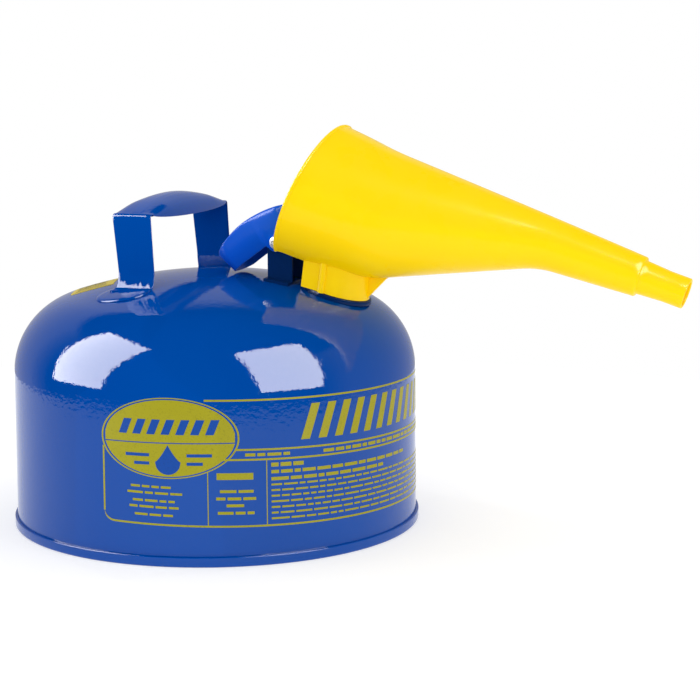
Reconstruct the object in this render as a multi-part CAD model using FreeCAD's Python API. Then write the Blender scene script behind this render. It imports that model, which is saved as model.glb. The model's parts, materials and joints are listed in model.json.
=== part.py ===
import FreeCAD, Part
import math
import os

# Safety gas can, Type I pattern, two US gallons, with a clip-on pouring funnel.
# Frame: origin on the can's axis at floor level, +X towards the spout, +Y left, +Z up. Millimetres.

# ---- driving dimensions ---------------------------------------------------------------------
SHEET = 0.9                 # drawn body steel

BEAD_D = 285.75             # 11 1/4 in over the rolled chime
BEAD_H = 6.8
WALL_R_LOW = 141.0          # drawn wall, a little draft
WALL_R_TOP = 140.3
SHOULDER_Z = 107.0          # where the straight wall ends
SHOULDER_R = 55.0
CROWN_R = 329.0
CROWN_TOP = 175.7
PAN_RECESS = 9.0            # bottom panel above the floor
PAN_R = WALL_R_LOW - SHEET - 0.15

NECK_X = 91.0               # where the neck axis meets the crown
NECK_LEAN = 7.5             # degrees forward
NECK_R = 20.0
NECK_WALL = 1.5
NECK_TOP = 31.5             # along the neck axis, from the crown
LIP_R = 20.7
LIP_H = 3.0
RING_R = 24.2               # welded ring round the neck's root
RING_H = 2.7                # above the crown all round

SCREEN_R = 15.8             # flame arrester
SCREEN_WALL = 0.6
SCREEN_DEPTH = 86.0         # below the crown, along the neck axis
ARRESTER_SEAT = 26.0        # flange level along the neck axis

PIVOT_X, PIVOT_Z = 53.0, 198.0
PIN_R = 2.5
PIN_FIT = 0.05
CHEEK_IN, CHEEK_T = 11.2, 1.8
CHEEK_X0, CHEEK_X1 = 45.5, 63.5
CHEEK_TOP_R = 8.0
BRACKET_FOOT = 8.0          # bent-out feet, each side

OPEN_ANGLE = 38.0           # cap held open at rest; closing turns it back by this much
LEVER_T = 1.2
TAIL_X = -46.2              # lever's rear end, from the pivot
TAIL_RAKE = 5.2             # its foot set in from its top
TAIL_HALF = 15.5
WAIST_HALF = 10.6
WAIST_REAR = 15.5            # the waist starts in front of the bracket's ears
PAD_R = 14.0
CAP_R = 22.6
CAP_T = 1.0
CAP_SKIRT = 4.6
GASKET_T = 2.0
SEAL_GAP = 0.1

HANDLE_X = -32.0            # strap's centre at the corners
LEG_FOOT_X = -29.2          # and at its feet
LEG_FOOT_HALF_W = 13.3
HANDLE_HALF = 63.9          # outer face of each leg
HANDLE_T = 1.6
LEG_HALF_W = 14.2
CORNER_R = 6.5
CORNER_Z = 219.4            # top of the strap at its corners
GRIP_RISE = 10.4            # arch of the grip above the corners
GRIP_DROP = 2.9             # rolled edges below the corners
GRIP_WIDEN = 4.8
GRIP_CROWN = 4.5
FOOT_HALF_W, FOOT_HALF_L = 19.0, 15.0
FOOT_X = -35.0
FOOT_OUT = 8.0              # foot centre, outside the leg's face

MOUTH_X, MOUTH_Z = 74.5, 231.8
MOUTH_R = 50.0
MOUTH_TILT = 25.4           # mouth plane's normal, below the horizontal
THROAT_X, THROAT_Z, THROAT_R = 125.0, 217.3, 43.8
BEND_X, BEND_Z, BEND_R = 237.0, 202.7, 17.5
SHOULDER_X, SHOULDER_Z2, SHOULDER_R2 = 300.5, 182.3, 13.4
TIP_X, TIP_Z = 331.0, 172.3
SPOUT_R0, SPOUT_R1 = 11.4, 10.2
SPOUT_LAND = 14.0           # straight stretch at the tip
BARREL_TILT, SPOUT_TILT = 7.3, 18.2
FUNNEL_WALL = 2.3
COLLAR_GAP = 0.5
COLLAR_R = 22.7
COLLAR_REAR = -18.0         # arms' end, along the slide direction from the neck axis
SLOT_HALF = 21.4             # gap under the mouth for the lever and bracket, at the saddle
SLOT_MOUTH_HALF = 30.0       # and at the mouth

X_AXIS = FreeCAD.Vector(1, 0, 0)
Y_AXIS = FreeCAD.Vector(0, 1, 0)
Z_AXIS = FreeCAD.Vector(0, 0, 1)
ORIGIN = FreeCAD.Vector(0, 0, 0)


# ---- helpers --------------------------------------------------------------------------------
def vec(x, y, z):
    return FreeCAD.Vector(x, y, z)


def sin(deg):
    return math.sin(math.radians(deg))


def cos(deg):
    return math.cos(math.radians(deg))


def crown_z(x, y=0.0, lift=0.0):
    """Height of the crown's outer skin above (x, y), lifted by a layer's thickness."""
    radius = CROWN_R + lift
    return CROWN_TOP - CROWN_R + math.sqrt(radius ** 2 - x ** 2 - y ** 2)


def face_xz(points, y=0.0):
    return Part.Face(Part.makePolygon([vec(x, y, z) for x, z in points + points[:1]]))


def revolve(points, centre=ORIGIN):
    """Solid of revolution about +Z from an (r, z) outline."""
    solid = face_xz(points).revolve(ORIGIN, Z_AXIS, 360)
    solid.translate(centre)
    return solid


def tube(r_out, r_in, z0, z1):
    return revolve([(r_in, z0), (r_out, z0), (r_out, z1), (r_in, z1)])


def cyl(radius, base, length, axis=Z_AXIS):
    return Part.makeCylinder(radius, length, base, axis)


def box(x0, x1, y0, y1, z0, z1):
    return Part.makeBox(x1 - x0, y1 - y0, z1 - z0, vec(x0, y0, z0))


def clean(shape):
    shape = shape.removeSplitter()
    return shape.Solids[0] if len(shape.Solids) == 1 else shape


NECK_ROOT = vec(NECK_X, 0, crown_z(NECK_X))
NECK_DIR = vec(sin(NECK_LEAN), 0, cos(NECK_LEAN))
SLIDE_DIR = vec(cos(NECK_LEAN), 0, -sin(NECK_LEAN))
PIVOT = vec(PIVOT_X, 0, PIVOT_Z)
FROM_ROOT = PIVOT - NECK_ROOT
NECK_AHEAD = -FROM_ROOT.dot(SLIDE_DIR)              # neck axis in front of the pivot
SEAL_Z = NECK_TOP - FROM_ROOT.dot(NECK_DIR)         # neck's top above the pivot, along the neck


def on_neck(shape):
    """Place a shape built on +Z round the neck axis."""
    shape.rotate(ORIGIN, Y_AXIS, NECK_LEAN)
    shape.translate(NECK_ROOT)
    return shape


def on_lever(shape):
    """Place a shape built round the pivot with the cap shut, and turn it to the open rest position."""
    shape.rotate(ORIGIN, Y_AXIS, NECK_LEAN - OPEN_ANGLE)
    shape.translate(PIVOT)
    return shape


# ---- body -----------------------------------------------------------------------------------
def body_outline(inset):
    """Outer skin of wall, shoulder and crown, moved inwards by inset, from the wall's foot up."""
    low = vec(WALL_R_LOW - inset, 0, 1.4)
    top = vec(WALL_R_TOP - inset, 0, SHOULDER_Z)
    shoulder_c = vec(WALL_R_TOP - SHOULDER_R, 0, SHOULDER_Z)
    turn = math.degrees(math.asin((WALL_R_TOP - SHOULDER_R) / (CROWN_R - SHOULDER_R)))
    r_s, r_c = SHOULDER_R - inset, CROWN_R - inset
    crown_c = vec(0, 0, SHOULDER_Z - (CROWN_R - SHOULDER_R) * cos(turn))

    def shoulder(angle):
        return shoulder_c + vec(r_s * sin(angle), 0, r_s * cos(angle))

    def crown(angle):
        return crown_c + vec(r_c * sin(angle), 0, r_c * cos(angle))

    return [Part.makeLine(low, top),
            Part.Arc(top, shoulder((90 + turn) / 2), shoulder(turn)).toShape(),
            Part.Arc(shoulder(turn), crown(turn / 2), crown(0)).toShape()]


def body_solid(inset=0.0):
    edges = body_outline(inset)
    top = edges[-1].Vertexes[-1].Point
    low = edges[0].Vertexes[0].Point
    edges += [Part.makeLine(top, vec(0, 0, low.z)), Part.makeLine(vec(0, 0, low.z), low)]
    return Part.Face(Part.Wire(edges)).revolve(ORIGIN, Z_AXIS, 360)


def crown_layer(gap, thickness, plan):
    """A layer of even thickness lying on the crown, inside the vertical prism plan."""
    centre = vec(0, 0, CROWN_TOP - CROWN_R)
    ball = Part.makeSphere(CROWN_R + gap + thickness, centre)
    inner = Part.makeSphere(CROWN_R + gap, centre)
    return plan.common(ball).cut(inner)


def body_shell():
    neck_hole = on_neck(cyl(NECK_R + 0.05, vec(0, 0, -25), 60))
    skin = body_solid().cut(body_solid(SHEET).fuse(cyl(120, vec(0, 0, 0), 20)))
    return clean(skin.cut(neck_hole))


def bottom_pan():
    r = PAN_R
    z = PAN_RECESS
    return revolve([(0, z - SHEET), (60, z - SHEET), (66, z - 3), (r - 9, z - 3), (r - SHEET, 12),
                    (r - SHEET, 1.4), (r, 1.4), (r, 13), (r - 9.6, z - 3 + SHEET), (65.5, z - 3 + SHEET),
                    (60, z), (0, z)])


def bottom_chime():
    """Rolled double-seam bead, folded round the wall's foot and the pan's skirt."""
    r_out, r_in = BEAD_D / 2, WALL_R_LOW - 2 * SHEET - 1.3
    bulge = 1.2
    outline = [(r_in, bulge), (r_in + bulge, 0), (r_out - 2.2, 0), (r_out - 0.6, 1.0), (r_out, 2.6),
               (r_out, 4.6), (r_out - 0.5, BEAD_H - 0.5), (WALL_R_LOW + 0.1, BEAD_H),
               (WALL_R_LOW + 0.1, 1.3), (PAN_R - SHEET - 0.05, 1.3),
               (PAN_R - SHEET - 0.05, BEAD_H), (r_in, BEAD_H)]
    return revolve(outline)


# ---- neck and flame arrester ----------------------------------------------------------------
def neck_tube():
    bore = NECK_R - NECK_WALL
    stem = tube(NECK_R, bore, -6, NECK_TOP)
    lip = tube(LIP_R, bore, NECK_TOP - LIP_H, NECK_TOP)
    ledge = tube(NECK_R - 0.2, bore - 1.4, ARRESTER_SEAT - 1.2, ARRESTER_SEAT)
    return clean(on_neck(stem.fuse([lip, ledge])))


def neck_base_ring():
    ring = on_neck(tube(RING_R, NECK_R + 0.05, -12, RING_H + 12))
    return clean(crown_layer(0.05, RING_H, ring))


def arrester_screen():
    screen = tube(SCREEN_R, SCREEN_R - SCREEN_WALL, -SCREEN_DEPTH, ARRESTER_SEAT - 0.1)
    slot = 1.6
    cutters = []
    for row in range(7):
        z = -SCREEN_DEPTH + 8 + row * 11
        for k in range(4):
            bar = box(-SCREEN_R - 2, SCREEN_R + 2, -slot / 2, slot / 2, z, z + 7)
            bar.rotate(ORIGIN, Z_AXIS, 45 * k + 22.5 * (row % 2))
            cutters.append(bar)
    return clean(on_neck(screen.cut(Part.makeCompound(cutters))))


def arrester_flange():
    return on_neck(revolve([(SCREEN_R + 0.05, ARRESTER_SEAT - 5), (SCREEN_R + 0.9, ARRESTER_SEAT - 5),
                            (SCREEN_R + 0.9, ARRESTER_SEAT + 0.05), (NECK_R - NECK_WALL - 0.1, ARRESTER_SEAT + 0.05),
                            (NECK_R - NECK_WALL - 0.1, ARRESTER_SEAT + 1.0), (SCREEN_R - SCREEN_WALL, ARRESTER_SEAT + 1.0),
                            (SCREEN_R - SCREEN_WALL, ARRESTER_SEAT), (SCREEN_R + 0.05, ARRESTER_SEAT)]))


def arrester_end_cap():
    z = -SCREEN_DEPTH
    return on_neck(revolve([(0, z - 1.1), (SCREEN_R + 0.8, z - 1.1), (SCREEN_R + 0.8, z + 6),
                            (SCREEN_R + 0.05, z + 6), (SCREEN_R + 0.05, z - 0.1), (0, z - 0.1)]))


def arrester_snap_ring():
    """Open wire ring that holds the arrester down in the neck."""
    r_wire, gap = 0.8, 30
    r_mid = NECK_R - NECK_WALL - r_wire - 0.02
    z = ARRESTER_SEAT + 1.05 + r_wire
    path = Part.Wire(Part.makeCircle(r_mid, vec(0, 0, z), Z_AXIS, gap / 2, 360 - gap / 2))
    start = path.Vertexes[0].Point
    tangent = vec(-start.y, start.x, 0)
    return on_neck(path.makePipeShell([Part.Wire(Part.makeCircle(r_wire, start, tangent))], True, False))


# ---- carrying handle ------------------------------------------------------------------------
def grip_section(y, inset):
    """Inverted-U section of the grip at y; inset 0 is the outside, inset HANDLE_T the inside."""
    span = HANDLE_HALF - CORNER_R
    c = 1 - (y / span) ** 2
    half = LEG_HALF_W + GRIP_WIDEN * c - inset
    top = CORNER_Z + GRIP_RISE * c - inset
    side = top - 0.5 - GRIP_CROWN * c
    low = CORNER_Z - 2.2 - GRIP_DROP * c - (3.0 if inset else 0.0)
    a, b = vec(HANDLE_X - half, y, low), vec(HANDLE_X - half, y, side)
    m, d = vec(HANDLE_X, y, top), vec(HANDLE_X + half, y, side)
    e = vec(HANDLE_X + half, y, low)
    return Part.Wire([Part.makeLine(a, b), Part.Arc(b, m, d).toShape(), Part.makeLine(d, e),
                      Part.makeLine(e, a)])


def handle_leg(side):
    """One leg with its top bend, foot bend and welded foot; side is +1 left, -1 right."""
    span = HANDLE_HALF - CORNER_R
    x0, x1 = HANDLE_X - LEG_HALF_W, HANDLE_X + LEG_HALF_W
    mid_z = CORNER_Z - CORNER_R
    bend = cyl(CORNER_R, vec(x0, side * span, mid_z), x1 - x0, X_AXIS)
    bend = bend.cut(cyl(CORNER_R - HANDLE_T, vec(x0 - 1, side * span, mid_z), x1 - x0 + 2, X_AXIS))
    y_in, y_out = sorted((side * span, side * (span + CORNER_R)))
    bend = bend.common(box(x0, x1, y_in, y_out, mid_z, CORNER_Z + 1))
    y_in, y_out = sorted((side * (HANDLE_HALF - HANDLE_T), side * HANDLE_HALF))
    leg = face_xz([(x0, mid_z), (x1, mid_z), (LEG_FOOT_X + LEG_FOOT_HALF_W, 165),
                   (LEG_FOOT_X - LEG_FOOT_HALF_W, 165)], y_in).extrude(vec(0, y_out - y_in, 0))
    foot_y = side * (HANDLE_HALF + FOOT_OUT)
    oval = Part.Ellipse(ORIGIN, FOOT_HALF_W, FOOT_HALF_L).toShape()
    plan = Part.Face(Part.Wire(oval)).extrude(vec(0, 0, 60))
    plan.translate(vec(FOOT_X, foot_y, 140))
    foot = crown_layer(0.05, HANDLE_T + 0.2, plan)
    root = 7.0
    foot_z = crown_z(HANDLE_X, HANDLE_HALF) + 0.4
    x0, x1 = LEG_FOOT_X - LEG_FOOT_HALF_W + 0.4, LEG_FOOT_X + LEG_FOOT_HALF_W - 0.1
    cove = box(x0, x1, min(side * HANDLE_HALF, side * (HANDLE_HALF + root)),
               max(side * HANDLE_HALF, side * (HANDLE_HALF + root)), foot_z - 4, foot_z + root)
    cove = cove.cut(cyl(root, vec(x0 - 1, side * (HANDLE_HALF + root), foot_z + root), 60, X_AXIS))
    ball = Part.makeSphere(CROWN_R + 0.05, vec(0, 0, CROWN_TOP - CROWN_R))
    return bend.fuse([leg.cut(ball), foot, cove.cut(ball)])


def handle_strap():
    span = HANDLE_HALF - CORNER_R
    stations = [span * k / 5 for k in range(-5, 6)]
    outer = Part.makeLoft([grip_section(y, 0.0) for y in stations], True, False)
    inner = Part.makeLoft([grip_section(y, HANDLE_T) for y in stations], True, False)
    return clean(outer.cut(inner).fuse([handle_leg(+1), handle_leg(-1)]))


# ---- hinge bracket, pin and spring ----------------------------------------------------------
def hinge_bracket():
    """Two cheeks with bent-out feet and a cross web, welded to the crown behind the neck."""
    centre = vec(0, 0, CROWN_TOP - CROWN_R)
    ball = Part.makeSphere(CROWN_R + 0.05, centre)
    y_in, y_out = CHEEK_IN, CHEEK_IN + CHEEK_T
    parts = []
    for side in (-1, 1):
        y0, y1 = sorted((side * y_in, side * y_out))
        shoulder = PIVOT_Z - 2.0
        plate = box(CHEEK_X0, CHEEK_X1, y0, y1, 165, shoulder)
        ear = cyl(CHEEK_TOP_R, vec(PIVOT_X, y0, PIVOT_Z), CHEEK_T, Y_AXIS)
        taper = face_xz([(CHEEK_X0, shoulder), (CHEEK_X1, shoulder), (PIVOT_X + 6.5, PIVOT_Z + 4.6),
                         (PIVOT_X - 5.6, PIVOT_Z + 5.6)], y0).extrude(vec(0, CHEEK_T, 0))
        f0, f1 = sorted((side * y_in, side * (y_out + BRACKET_FOOT)))
        foot = crown_layer(0.05, 1.7, box(CHEEK_X0, CHEEK_X1, f0, f1, 150, 190))
        parts += [plate.cut(ball), ear, taper, foot]
    web = crown_layer(0.05, 1.7, box(CHEEK_X0, CHEEK_X1, -y_out, y_out, 150, 190))
    bore = cyl(PIN_R + PIN_FIT, PIVOT - vec(0, 30, 0), 60, Y_AXIS)
    return clean(web.fuse(parts).cut(bore))


def hinge_pin():
    """Headed pin through the lever's flanges and both cheeks, grooved for the clip at its far end."""
    y_out = TAIL_HALF + 0.2
    head = cyl(4.2, vec(PIVOT_X, -y_out - 1.9, PIVOT_Z), 1.8, Y_AXIS)
    shank = cyl(PIN_R, vec(PIVOT_X, -y_out - 0.5, PIVOT_Z), 2 * y_out + 3.4, Y_AXIS)
    groove = cyl(6, vec(PIVOT_X, y_out + 0.6, PIVOT_Z), 1.0, Y_AXIS)
    groove = groove.cut(cyl(PIN_R - 0.6, vec(PIVOT_X, y_out, PIVOT_Z), 3, Y_AXIS))
    return clean(head.fuse(shank).cut(groove))


def hinge_pin_clip():
    y = TAIL_HALF + 0.2 + 0.7
    clip = cyl(4.6, vec(PIVOT_X, y, PIVOT_Z), 0.8, Y_AXIS)
    clip = clip.cut(cyl(PIN_R - 0.55, vec(PIVOT_X, y - 1, PIVOT_Z), 3, Y_AXIS))
    return clean(clip.cut(box(PIVOT_X - 1.7, PIVOT_X + 1.7, y - 1, y + 2, PIVOT_Z - 8, PIVOT_Z)))


def spring_sleeve():
    sleeve = cyl(3.4, vec(PIVOT_X, -7.5, PIVOT_Z), 15, Y_AXIS)
    return sleeve.cut(cyl(PIN_R + PIN_FIT, vec(PIVOT_X, -9, PIVOT_Z), 18, Y_AXIS))


def closing_spring():
    """Torsion spring on the sleeve, one leg up under the lever's web and one down in the bracket."""
    wire, radius, turns, pitch = 0.7, 4.5, 7, 1.75
    helix = Part.makeHelix(pitch, pitch * turns, radius)
    run = vec(0, 2 * math.pi * radius, pitch).normalize()
    start, end = vec(radius, 0, 0), vec(radius, 0, pitch * turns)
    legs = [Part.makeLine(start - run * 15.0, start), Part.makeLine(end, end + run * 9.0)]
    path = Part.Wire([legs[0]] + helix.Edges + [legs[1]])
    profile = Part.Wire(Part.makeCircle(wire, start - run * 15.0, run))
    spring = path.makePipeShell([profile], True, False)
    spring.rotate(ORIGIN, X_AXIS, -90)
    spring.translate(vec(0, -pitch * turns / 2, 0))
    return on_lever(spring)


# ---- lever and cap (built shut, round the pivot) --------------------------------------------
def lever_plan(inset):
    """Plan outline: wide round-ended tail that straddles the cheeks, waist, round pad over the cap."""
    tail, waist, pad = TAIL_HALF - inset, WAIST_HALF - inset, PAD_R - inset
    rear, corner = TAIL_X + inset, 12.0 - inset
    diag = corner * (1 - cos(45))
    throat_x = NECK_AHEAD - math.sqrt(pad ** 2 - waist ** 2)
    left = [vec(rear + corner, tail, 0), vec(WAIST_REAR - 5, tail, 0), vec(WAIST_REAR, waist, 0),
            vec(throat_x, waist, 0)]
    right = [vec(p.x, -p.y, 0) for p in reversed(left)]
    rear_r, rear_l = vec(rear, corner - tail, 0), vec(rear, tail - corner, 0)
    edges = [Part.makeLine(side[k], side[k + 1]) for side in (left, right) for k in range(3)]
    edges.insert(3, Part.Arc(left[3], vec(NECK_AHEAD + pad, 0, 0), right[0]).toShape())
    edges.append(Part.Arc(right[3], vec(rear + diag, diag - tail, 0), rear_r).toShape())
    edges.append(Part.makeLine(rear_r, rear_l))
    edges.append(Part.Arc(rear_l, vec(rear + diag, tail - diag, 0), left[0]).toShape())
    outline = Part.Face(Part.Wire(edges)).extrude(vec(0, 0, 60))
    outline.translate(vec(0, 0, -25))
    return outline


def lever_side(inset):
    """Side outline: arched back, raked tail end, and a front that slopes down to lie flat on the cap."""
    flat = SEAL_Z + SEAL_GAP + GASKET_T + CAP_T + 0.1 + LEVER_T - inset
    end_x = NECK_AHEAD + PAD_R + 2
    tail_top, tail_low = 13.6, -1.4

    def rear(z):
        return TAIL_X + 1.05 * inset + TAIL_RAKE * (tail_top - z) / (tail_top - tail_low)

    top = [vec(rear(tail_top - inset), 0, tail_top - inset), vec(-26, 0, 21.8 - inset),
           vec(16, 0, 20.4 - inset)]
    points = [top[-1], vec(23, 0, 16.5 - inset), vec(28, 0, flat), vec(end_x, 0, flat)]
    if inset:
        points += [vec(end_x, 0, -30), vec(rear(-30), 0, -30), top[0]]
    else:
        points += [vec(end_x, 0, flat - LEVER_T), vec(27, 0, flat - LEVER_T), vec(20.5, 0, 6.5),
                   vec(9, 0, -5.5), vec(-5, 0, -5.5), vec(-7.5, 0, 1.6), vec(-38, 0, tail_low),
                   vec(rear(tail_low), 0, tail_low), top[0]]
    edges = [Part.Arc(*top).toShape()]
    edges += [Part.makeLine(points[k], points[k + 1]) for k in range(len(points) - 1)]
    slab = Part.Face(Part.Wire(edges)).extrude(vec(0, 80, 0))
    slab.translate(vec(0, -40, 0))
    return slab


def cap_lever():
    outer = lever_plan(0.0).common(lever_side(0.0))
    inner = lever_plan(LEVER_T).common(lever_side(LEVER_T))
    bore = cyl(PIN_R + PIN_FIT, vec(0, -30, 0), 60, Y_AXIS)
    rivet = cyl(3.05, vec(NECK_AHEAD, 0, -5), 40)
    return clean(on_lever(outer.cut(inner).cut(bore).cut(rivet)))


def cap_disc():
    z0 = SEAL_Z + SEAL_GAP + GASKET_T
    disc = revolve([(3.05, z0), (CAP_R - 1.0, z0), (CAP_R - 1.0, z0 - CAP_SKIRT), (CAP_R, z0 - CAP_SKIRT),
                    (CAP_R, z0 + 0.2), (CAP_R - 0.8, z0 + CAP_T), (3.05, z0 + CAP_T)],
                   vec(NECK_AHEAD, 0, 0))
    return on_lever(disc)


def cap_gasket():
    z = SEAL_Z + SEAL_GAP
    ring = tube(CAP_R - 1.15, 14.0, z, z + GASKET_T - 0.05)
    ring.translate(vec(NECK_AHEAD, 0, 0))
    return on_lever(ring)


def gasket_retainer():
    z = SEAL_Z + SEAL_GAP
    dish = revolve([(3.05, z - 0.6), (13.0, z - 0.6), (15.6, z - 1.0), (15.6, z - 0.1), (13.9, z - 0.1),
                    (13.9, z + GASKET_T - 0.05), (3.05, z + GASKET_T - 0.05)], vec(NECK_AHEAD, 0, 0))
    return on_lever(dish)


def cap_rivet():
    """Shouldered rivet through lever, cap and retainer."""
    z0 = SEAL_Z + SEAL_GAP - 0.65
    z1 = SEAL_Z + SEAL_GAP + GASKET_T + CAP_T + 0.15 + LEVER_T
    rivet = revolve([(0, z0 - 1.4), (4.4, z0 - 1.4), (5.4, z0), (3.0, z0), (3.0, z1), (5.8, z1),
                     (5.0, z1 + 1.8), (2.6, z1 + 2.6), (0, z1 + 2.8)], vec(NECK_AHEAD, 0, 0))
    return on_lever(rivet)


# ---- funnel ---------------------------------------------------------------------------------
def ring_wire(x, z, radius, tilt):
    return Part.Wire(Part.makeCircle(radius, vec(x, 0, z), vec(cos(tilt), 0, -sin(tilt))))


def funnel_loft(inset, reach):
    """Barrel and spout as one run of round sections; reach lengthens both ends for a cutter."""
    back = vec(-cos(MOUTH_TILT), 0, sin(MOUTH_TILT)) * reach
    bend_tilt = (BARREL_TILT + SPOUT_TILT) / 2
    barrel = [ring_wire(MOUTH_X + back.x, MOUTH_Z + back.z, MOUTH_R - inset + 0.2 * reach, MOUTH_TILT),
              ring_wire(THROAT_X, THROAT_Z, THROAT_R - inset, BARREL_TILT + 2),
              ring_wire(BEND_X, BEND_Z, BEND_R - inset, bend_tilt)]
    taper = [ring_wire(BEND_X, BEND_Z, BEND_R - inset, bend_tilt),
             ring_wire(SHOULDER_X, SHOULDER_Z2, SHOULDER_R2 - inset, SPOUT_TILT)]
    out = vec(cos(SPOUT_TILT), 0, -sin(SPOUT_TILT))
    land = vec(TIP_X, 0, TIP_Z) - out * SPOUT_LAND
    nose = [ring_wire(SHOULDER_X, SHOULDER_Z2, SPOUT_R0 - inset, SPOUT_TILT),
            ring_wire(land.x, land.z, SPOUT_R1 - inset, SPOUT_TILT)]
    runs = [Part.makeLoft(run, True, True) for run in (barrel, taper, nose)]
    return runs + [cyl(SPOUT_R1 - inset, land, SPOUT_LAND + reach, out)]


def funnel_collar():
    """U-shaped saddle that clips round the neck from the front, with ribs and a front gusset."""
    low, high = -8.0, 40.0
    bore = NECK_R + COLLAR_GAP
    saddle = cyl(COLLAR_R, vec(0, 0, low), high - low)
    saddle = saddle.fuse(box(COLLAR_REAR, 0, -COLLAR_R, COLLAR_R, low, high))
    saddle = saddle.cut(cyl(bore, vec(0, 0, low - 1), high)).cut(
        box(COLLAR_REAR - 5, 0, -bore, bore, low - 1, high + 1))
    ribs = [box(-2.0, 2.0, COLLAR_R - 0.5, COLLAR_R + 1.8, low, high),
            box(-2.0, 2.0, -COLLAR_R - 1.8, -COLLAR_R + 0.5, low, high)]
    gusset = face_xz([(COLLAR_R - 0.5, low), (COLLAR_R + 1.0, low), (COLLAR_R + 1.0, 2.0),
                      (COLLAR_R + 24, high - 8), (COLLAR_R - 0.5, high - 8)], -1.3).extrude(vec(0, 2.6, 0))
    band = on_neck(saddle.fuse(ribs + [gusset]))
    over_ring = Part.makeSphere(CROWN_R + RING_H + 0.5, vec(0, 0, CROWN_TOP - CROWN_R))
    return band.cut(over_ring)


def funnel():
    outer = funnel_loft(0.0, 0.0)
    inner = funnel_loft(FUNNEL_WALL, 6.0)
    normal = vec(cos(MOUTH_TILT), 0, -sin(MOUTH_TILT))
    mouth = vec(MOUTH_X, 0, MOUTH_Z)
    rim = cyl(MOUTH_R + 1.1, mouth, 3.0, normal).cut(cyl(MOUTH_R - 2.0, mouth - normal, 6.0, normal))
    shell = outer[0].fuse(outer[1:])
    band = funnel_collar().cut(on_neck(box(-80, 90, -60, 60, NECK_TOP + 6, 90)))
    solid = shell.fuse([rim, band])
    for cutter in inner:
        solid = solid.cut(cutter)
    plan = [vec(0, -SLOT_HALF, 16), vec(0, SLOT_HALF, 16), vec(COLLAR_REAR, SLOT_HALF, 16),
            vec(-40, SLOT_MOUTH_HALF, 16), vec(-90, SLOT_MOUTH_HALF, 16), vec(-90, -SLOT_MOUTH_HALF, 16),
            vec(-40, -SLOT_MOUTH_HALF, 16), vec(COLLAR_REAR, -SLOT_HALF, 16)]
    gap = Part.Face(Part.makePolygon(plan + plan[:1])).extrude(vec(0, 0, 24))
    slot = on_neck(cyl(SLOT_HALF, vec(0, 0, 16), 24).fuse(gap))
    bore = NECK_R + COLLAR_GAP
    lower = on_neck(cyl(bore, vec(0, 0, -9), 49).fuse(box(-90, 0, -bore, bore, -9, 40)))
    solid = solid.cut(slot).cut(lower)
    return max(solid.Solids, key=lambda piece: piece.Volume)


def inspection_sticker():
    """Small paper sticker on the crown's rear."""
    patch = box(-15, 15, -17, 17, 0, 60)
    patch.rotate(ORIGIN, Z_AXIS, 20)
    patch.translate(vec(-78.5, -30, 120))
    return crown_layer(0.05, 0.25, patch)


NODES = {
    "body_shell": body_shell,
    "bottom_pan": bottom_pan,
    "bottom_chime": bottom_chime,
    "neck_tube": neck_tube,
    "neck_base_ring": neck_base_ring,
    "arrester_screen": arrester_screen,
    "arrester_flange": arrester_flange,
    "arrester_end_cap": arrester_end_cap,
    "arrester_snap_ring": arrester_snap_ring,
    "handle_strap": handle_strap,
    "hinge_bracket": hinge_bracket,
    "hinge_pin": hinge_pin,
    "hinge_pin_clip": hinge_pin_clip,
    "spring_sleeve": spring_sleeve,
    "closing_spring": closing_spring,
    "cap_lever": cap_lever,
    "cap_disc": cap_disc,
    "cap_gasket": cap_gasket,
    "gasket_retainer": gasket_retainer,
    "cap_rivet": cap_rivet,
    "funnel": funnel,
    "inspection_sticker": inspection_sticker,
}

os.makedirs("parts", exist_ok=True)
for name, build in NODES.items():
    shape = build()
    box_ = shape.BoundBox
    print(f"{name:20s} solids {len(shape.Solids)} valid {shape.isValid()} "
          f"x {box_.XMin:.1f}..{box_.XMax:.1f} y {box_.YMin:.1f}..{box_.YMax:.1f} "
          f"z {box_.ZMin:.1f}..{box_.ZMax:.1f} vol {shape.Volume:.0f}")
    shape.exportStep(f"parts/{name}.step")
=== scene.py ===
import math
import random

import bmesh
import bpy
from mathutils import Matrix, Vector
from mathutils.bvhtree import BVHTree
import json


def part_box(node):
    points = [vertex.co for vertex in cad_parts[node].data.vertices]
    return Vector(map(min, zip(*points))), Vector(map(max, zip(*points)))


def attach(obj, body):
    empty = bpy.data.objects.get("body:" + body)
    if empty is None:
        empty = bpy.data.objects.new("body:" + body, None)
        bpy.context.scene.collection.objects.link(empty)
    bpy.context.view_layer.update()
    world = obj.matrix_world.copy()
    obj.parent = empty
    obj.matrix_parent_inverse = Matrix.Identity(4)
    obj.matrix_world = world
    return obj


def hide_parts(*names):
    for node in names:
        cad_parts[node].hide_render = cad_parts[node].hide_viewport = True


# Looks of the safety gas can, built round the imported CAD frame.
# Metres unless a name or comment says mm, radians unless a name says degrees.

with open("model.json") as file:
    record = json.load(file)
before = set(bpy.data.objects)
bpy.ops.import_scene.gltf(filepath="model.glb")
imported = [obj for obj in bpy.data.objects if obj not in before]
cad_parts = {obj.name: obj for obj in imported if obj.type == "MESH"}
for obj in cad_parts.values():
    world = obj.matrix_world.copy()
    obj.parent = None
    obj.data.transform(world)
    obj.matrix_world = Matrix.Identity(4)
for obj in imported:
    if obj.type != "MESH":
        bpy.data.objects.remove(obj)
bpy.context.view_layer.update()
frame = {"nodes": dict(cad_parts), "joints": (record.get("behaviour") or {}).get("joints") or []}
NODES = frame["nodes"]
JOINTS = {joint["name"]: joint for joint in frame["joints"]}

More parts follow.
